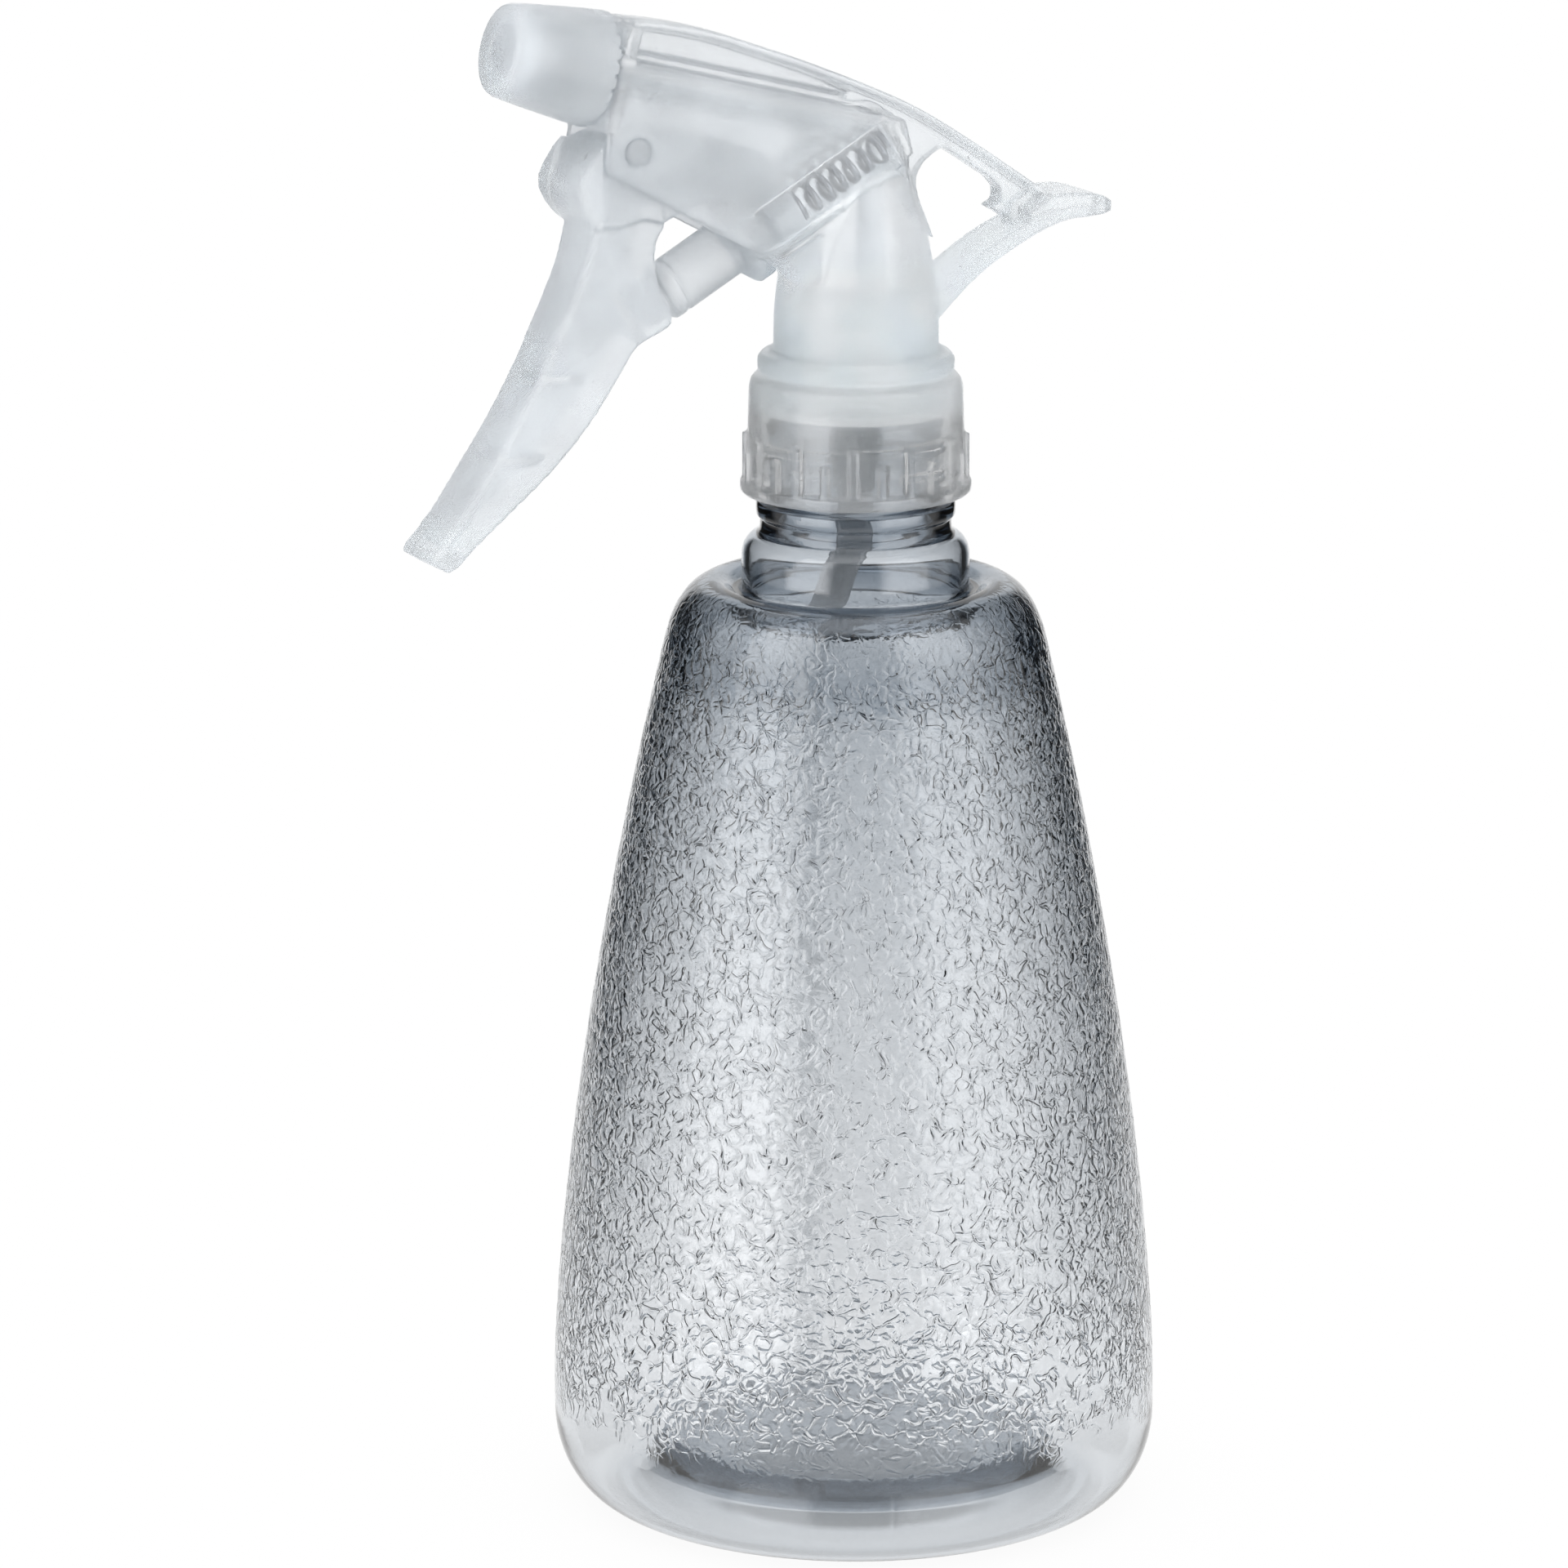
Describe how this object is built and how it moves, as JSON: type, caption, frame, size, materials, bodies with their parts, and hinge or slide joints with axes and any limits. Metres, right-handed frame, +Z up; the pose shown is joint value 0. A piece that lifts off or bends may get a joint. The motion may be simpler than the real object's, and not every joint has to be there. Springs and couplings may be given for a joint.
{
  "type": "trigger spray bottle",
  "caption": "Hand trigger sprayer on a tapered, pebble-textured clear bottle with a ribbed screw cap; pump, valves, dip tube and return spring are separate working pieces.",
  "frame": {"origin": "centre of the base's resting plane, on the bottle's axis", "axes": "+Z up along the bottle's axis, -Y the spray direction (front), +X to the left of a person holding it and spraying away"},
  "size_m": [0.088, 0.1129, 0.223],
  "materials": {
    "smoke_pet": "clear smoke-grey PET, pebble-textured body, smooth neck",
    "natural_pp": "milky translucent natural polypropylene",
    "clear_pp": "clearer translucent polypropylene, ribbed",
    "tube_pe": "milky extruded polyethylene",
    "seal_pe": "soft white polyethylene",
    "spring_steel": "drawn stainless wire",
    "ball_steel": "polished stainless ball"
  },
  "bodies": {
    "bottle": {"bottle": "smoke_pet"},
    "gasket": {"neck_gasket": "seal_pe"},
    "head": {"sprayer_body": "natural_pp", "barrel_collar": "natural_pp", "valve_housing": "natural_pp", "ball_retainer": "natural_pp", "dip_tube": "tube_pe", "return_spring": "spring_steel", "discharge_spring": "spring_steel", "swirl_core": "natural_pp"},
    "closure": {"closure_cap": "clear_pp"},
    "trigger": {"trigger": "natural_pp"},
    "piston": {"piston_rod": "natural_pp", "piston_cup": "seal_pe"},
    "inlet_check": {"inlet_ball": "ball_steel"},
    "outlet_check": {"discharge_ball": "ball_steel"},
    "nozzle_liner": {"nozzle_seal": "seal_pe"},
    "nozzle": {"nozzle_cap": "natural_pp"}
  },
  "joints": [
    {"name": "head_lift", "type": "slide", "parent": "bottle", "child": "gasket", "axis": [0, 0, 1], "range_m": [0, 0.16]},
    {"name": "head_swivel", "type": "hinge", "parent": "gasket", "child": "head", "pos_m": [0, 0, 0.17], "axis": [0, 0, 1], "continuous": true},
    {"name": "closure_turn", "type": "hinge", "parent": "head", "child": "closure", "pos_m": [0, 0, 0.16], "axis": [0, 0, 1], "continuous": true},
    {"name": "trigger_pull", "type": "hinge", "parent": "head", "child": "trigger", "pos_m": [0, -0.0375, 0.2019], "axis": [1, 0, 0], "range_deg": [0, 22]},
    {"name": "piston_stroke", "type": "slide", "parent": "head", "child": "piston", "axis": [0, 0.8704, 0.4924], "range_m": [0, 0.0085], "deforming": ["return_spring"]},
    {"name": "inlet_lift", "type": "slide", "parent": "head", "child": "inlet_check", "axis": [0, 0, 1], "range_m": [0, 0.0012]},
    {"name": "outlet_lift", "type": "slide", "parent": "head", "child": "outlet_check", "axis": [0, -0.9677, 0.2521], "range_m": [0, 0.0008], "deforming": ["discharge_spring"]},
    {"name": "nozzle_travel", "type": "slide", "parent": "head", "child": "nozzle_liner", "axis": [0, -0.9677, 0.2521], "range_m": [0, 0.002]},
    {"name": "nozzle_turn", "type": "hinge", "parent": "nozzle_liner", "child": "nozzle", "pos_m": [0, -0.0415, 0.2131], "axis": [0, -0.9677, 0.2521], "range_deg": [0, 360]}
  ],
  "couplings": [
    {"joint": "piston_stroke", "follows": "trigger_pull", "m_per_rad": 0.0219},
    {"joint": "nozzle_turn", "follows": "nozzle_travel", "rad_per_m": 3141.6}
  ]
}
